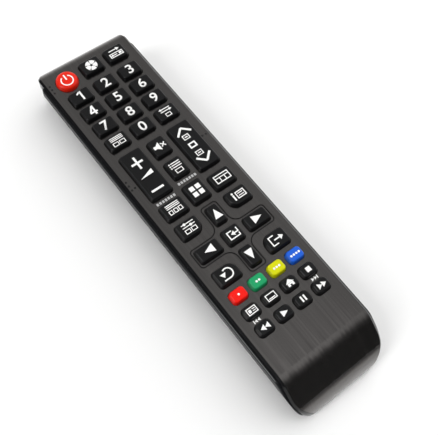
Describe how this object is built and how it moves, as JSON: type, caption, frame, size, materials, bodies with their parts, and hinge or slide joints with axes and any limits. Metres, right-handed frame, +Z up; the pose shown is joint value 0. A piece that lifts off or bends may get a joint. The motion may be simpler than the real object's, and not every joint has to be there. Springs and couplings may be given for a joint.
{
  "type": "tv remote control",
  "caption": "Long slim infrared TV remote: brushed face, black case, raised press keys, tilting rocker keys, round power key, hinged battery door.",
  "frame": {"origin": "middle of the underside, on the table", "axes": "+X to the right seen from above with the head end up, +Y towards the head end, +Z up out of the keypad"},
  "size_m": [0.0488, 0.1896, 0.0227],
  "materials": {
    "brushed_face": "brushed lengthwise, dark grey",
    "gloss_black": "polished",
    "case_black": "fine satin",
    "dark_window": "polished, passes infrared light",
    "board": "lacquered",
    "grey_rubber": "matt",
    "clear_lamp": "clear with a faint blue tint",
    "chip_black": "matt",
    "blue_part": "dipped",
    "can": "sleeved",
    "spring_steel": "nickel plated",
    "battery": "plain sleeve",
    "key_black": "fine satin with white printing",
    "key_red_gloss": "polished",
    "key_green_gloss": "polished",
    "key_yellow_gloss": "polished",
    "key_blue_gloss": "polished"
  },
  "bodies": {
    "case": {"face_panel": "brushed_face", "upper_case": "gloss_black", "lower_case": "case_black", "infrared_window": "dark_window", "circuit_board": "board", "keypad_mat": "grey_rubber", "infrared_led": "clear_lamp", "controller_chip": "chip_black", "ceramic_resonator": "blue_part", "capacitor": "can", "driver_transistor": "chip_black", "negative_contact": "spring_steel", "positive_contact": "spring_steel", "bridge_contact": "spring_steel", "battery_1": "battery", "battery_2": "battery"},
    "battery_door": {"battery_door": "case_black"},
    "key_power": {"key_power": "key_red_gloss"},
    "key_favourites": {"key_favourites": "key_black"},
    "key_input": {"key_input": "key_black"},
    "key_1": {"key_1": "key_black"},
    "key_2": {"key_2": "key_black"},
    "key_3": {"key_3": "key_black"},
    "key_4": {"key_4": "key_black"},
    "key_5": {"key_5": "key_black"},
    "key_6": {"key_6": "key_black"},
    "key_7": {"key_7": "key_black"},
    "key_8": {"key_8": "key_black"},
    "key_9": {"key_9": "key_black"},
    "key_text": {"key_text": "key_black"},
    "key_0": {"key_0": "key_black"},
    "key_swap": {"key_swap": "key_black"},
    "key_mute": {"key_mute": "key_black"},
    "key_list": {"key_list": "key_black"},
    "key_menu": {"key_menu": "key_black"},
    "key_hub": {"key_hub": "key_black"},
    "key_guide": {"key_guide": "key_black"},
    "key_tools": {"key_tools": "key_black"},
    "key_info": {"key_info": "key_black"},
    "key_return": {"key_return": "key_black"},
    "key_exit": {"key_exit": "key_black"},
    "key_up": {"key_up": "key_black"},
    "key_down": {"key_down": "key_black"},
    "key_left": {"key_left": "key_black"},
    "key_right": {"key_right": "key_black"},
    "key_enter": {"key_enter": "key_black"},
    "key_red": {"key_red": "key_red_gloss"},
    "key_green": {"key_green": "key_green_gloss"},
    "key_yellow": {"key_yellow": "key_yellow_gloss"},
    "key_blue": {"key_blue": "key_blue_gloss"},
    "key_manual": {"key_manual": "key_black"},
    "key_subtitle": {"key_subtitle": "key_black"},
    "key_home": {"key_home": "key_black"},
    "key_stop": {"key_stop": "key_black"},
    "key_rewind": {"key_rewind": "key_black"},
    "key_play": {"key_play": "key_black"},
    "key_pause": {"key_pause": "key_black"},
    "key_forward": {"key_forward": "key_black"},
    "key_volume": {"key_volume": "key_black"},
    "key_channel": {"key_channel": "key_black"}
  },
  "joints": [
    {"name": "press_power", "type": "slide", "parent": "case", "child": "key_power", "axis": [0, 0, -1], "range_m": [0, 0.0009], "stiffness_N_per_m": 1000},
    {"name": "press_favourites", "type": "slide", "parent": "case", "child": "key_favourites", "axis": [0, 0, -1], "range_m": [0, 0.0009], "stiffness_N_per_m": 1000},
    {"name": "press_input", "type": "slide", "parent": "case", "child": "key_input", "axis": [0, 0, -1], "range_m": [0, 0.0009], "stiffness_N_per_m": 1000},
    {"name": "press_1", "type": "slide", "parent": "case", "child": "key_1", "axis": [0, 0, -1], "range_m": [0, 0.0009], "stiffness_N_per_m": 1000},
    {"name": "press_2", "type": "slide", "parent": "case", "child": "key_2", "axis": [0, 0, -1], "range_m": [0, 0.0009], "stiffness_N_per_m": 1000},
    {"name": "press_3", "type": "slide", "parent": "case", "child": "key_3", "axis": [0, 0, -1], "range_m": [0, 0.0009], "stiffness_N_per_m": 1000},
    {"name": "press_4", "type": "slide", "parent": "case", "child": "key_4", "axis": [0, 0, -1], "range_m": [0, 0.0009], "stiffness_N_per_m": 1000},
    {"name": "press_5", "type": "slide", "parent": "case", "child": "key_5", "axis": [0, 0, -1], "range_m": [0, 0.0009], "stiffness_N_per_m": 1000},
    {"name": "press_6", "type": "slide", "parent": "case", "child": "key_6", "axis": [0, 0, -1], "range_m": [0, 0.0009], "stiffness_N_per_m": 1000},
    {"name": "press_7", "type": "slide", "parent": "case", "child": "key_7", "axis": [0, 0, -1], "range_m": [0, 0.0009], "stiffness_N_per_m": 1000},
    {"name": "press_8", "type": "slide", "parent": "case", "child": "key_8", "axis": [0, 0, -1], "range_m": [0, 0.0009], "stiffness_N_per_m": 1000},
    {"name": "press_9", "type": "slide", "parent": "case", "child": "key_9", "axis": [0, 0, -1], "range_m": [0, 0.0009], "stiffness_N_per_m": 1000},
    {"name": "press_text", "type": "slide", "parent": "case", "child": "key_text", "axis": [0, 0, -1], "range_m": [0, 0.0009], "stiffness_N_per_m": 1000},
    {"name": "press_0", "type": "slide", "parent": "case", "child": "key_0", "axis": [0, 0, -1], "range_m": [0, 0.0009], "stiffness_N_per_m": 1000},
    {"name": "press_swap", "type": "slide", "parent": "case", "child": "key_swap", "axis": [0, 0, -1], "range_m": [0, 0.0009], "stiffness_N_per_m": 1000},
    {"name": "press_mute", "type": "slide", "parent": "case", "child": "key_mute", "axis": [0, 0, -1], "range_m": [0, 0.0009], "stiffness_N_per_m": 1000},
    {"name": "press_list", "type": "slide", "parent": "case", "child": "key_list", "axis": [0, 0, -1], "range_m": [0, 0.0009], "stiffness_N_per_m": 1000},
    {"name": "press_menu", "type": "slide", "parent": "case", "child": "key_menu", "axis": [0, 0, -1], "range_m": [0, 0.0009], "stiffness_N_per_m": 1000},
    {"name": "press_hub", "type": "slide", "parent": "case", "child": "key_hub", "axis": [0, 0, -1], "range_m": [0, 0.0009], "stiffness_N_per_m": 1000},
    {"name": "press_guide", "type": "slide", "parent": "case", "child": "key_guide", "axis": [0, 0, -1], "range_m": [0, 0.0009], "stiffness_N_per_m": 1000},
    {"name": "press_tools", "type": "slide", "parent": "case", "child": "key_tools", "axis": [0, 0, -1], "range_m": [0, 0.0009], "stiffness_N_per_m": 1000},
    {"name": "press_info", "type": "slide", "parent": "case", "child": "key_info", "axis": [0, 0, -1], "range_m": [0, 0.0009], "stiffness_N_per_m": 1000},
    {"name": "press_return", "type": "slide", "parent": "case", "child": "key_return", "axis": [0, 0, -1], "range_m": [0, 0.0009], "stiffness_N_per_m": 1000},
    {"name": "press_exit", "type": "slide", "parent": "case", "child": "key_exit", "axis": [0, 0, -1], "range_m": [0, 0.0009], "stiffness_N_per_m": 1000},
    {"name": "press_up", "type": "slide", "parent": "case", "child": "key_up", "axis": [0, 0, -1], "range_m": [0, 0.0009], "stiffness_N_per_m": 1000},
    {"name": "press_down", "type": "slide", "parent": "case", "child": "key_down", "axis": [0, 0, -1], "range_m": [0, 0.0009], "stiffness_N_per_m": 1000},
    {"name": "press_left", "type": "slide", "parent": "case", "child": "key_left", "axis": [0, 0, -1], "range_m": [0, 0.0009], "stiffness_N_per_m": 1000},
    {"name": "press_right", "type": "slide", "parent": "case", "child": "key_right", "axis": [0, 0, -1], "range_m": [0, 0.0009], "stiffness_N_per_m": 1000},
    {"name": "press_enter", "type": "slide", "parent": "case", "child": "key_enter", "axis": [0, 0, -1], "range_m": [0, 0.0009], "stiffness_N_per_m": 1000},
    {"name": "press_red", "type": "slide", "parent": "case", "child": "key_red", "axis": [0, 0, -1], "range_m": [0, 0.0009], "stiffness_N_per_m": 1000},
    {"name": "press_green", "type": "slide", "parent": "case", "child": "key_green", "axis": [0, 0, -1], "range_m": [0, 0.0009], "stiffness_N_per_m": 1000},
    {"name": "press_yellow", "type": "slide", "parent": "case", "child": "key_yellow", "axis": [0, 0, -1], "range_m": [0, 0.0009], "stiffness_N_per_m": 1000},
    {"name": "press_blue", "type": "slide", "parent": "case", "child": "key_blue", "axis": [0, 0, -1], "range_m": [0, 0.0009], "stiffness_N_per_m": 1000},
    {"name": "press_manual", "type": "slide", "parent": "case", "child": "key_manual", "axis": [0, 0, -1], "range_m": [0, 0.0009], "stiffness_N_per_m": 1000},
    {"name": "press_subtitle", "type": "slide", "parent": "case", "child": "key_subtitle", "axis": [0, 0, -1], "range_m": [0, 0.0009], "stiffness_N_per_m": 1000},
    {"name": "press_home", "type": "slide", "parent": "case", "child": "key_home", "axis": [0, 0, -1], "range_m": [0, 0.0009], "stiffness_N_per_m": 1000},
    {"name": "press_stop", "type": "slide", "parent": "case", "child": "key_stop", "axis": [0, 0, -1], "range_m": [0, 0.0009], "stiffness_N_per_m": 1000},
    {"name": "press_rewind", "type": "slide", "parent": "case", "child": "key_rewind", "axis": [0, 0, -1], "range_m": [0, 0.0009], "stiffness_N_per_m": 1000},
    {"name": "press_play", "type": "slide", "parent": "case", "child": "key_play", "axis": [0, 0, -1], "range_m": [0, 0.0009], "stiffness_N_per_m": 1000},
    {"name": "press_pause", "type": "slide", "parent": "case", "child": "key_pause", "axis": [0, 0, -1], "range_m": [0, 0.0009], "stiffness_N_per_m": 1000},
    {"name": "press_forward", "type": "slide", "parent": "case", "child": "key_forward", "axis": [0, 0, -1], "range_m": [0, 0.0009], "stiffness_N_per_m": 1000},
    {"name": "tilt_volume", "type": "hinge", "parent": "case", "child": "key_volume", "pos_m": [-0.0126, 0.02328, 0.0174], "axis": [1, 0, 0], "range_deg": [-3, 3], "stiffness_Nm_per_rad": 0.15},
    {"name": "tilt_channel", "type": "hinge", "parent": "case", "child": "key_channel", "pos_m": [0.0126, 0.02328, 0.0174], "axis": [1, 0, 0], "range_deg": [-3, 3], "stiffness_Nm_per_rad": 0.15},
    {"name": "door_hinge", "type": "hinge", "parent": "case", "child": "battery_door", "pos_m": [0, -0.01372, 0.0011], "axis": [1, 0, 0], "range_deg": [0, 75]}
  ]
}
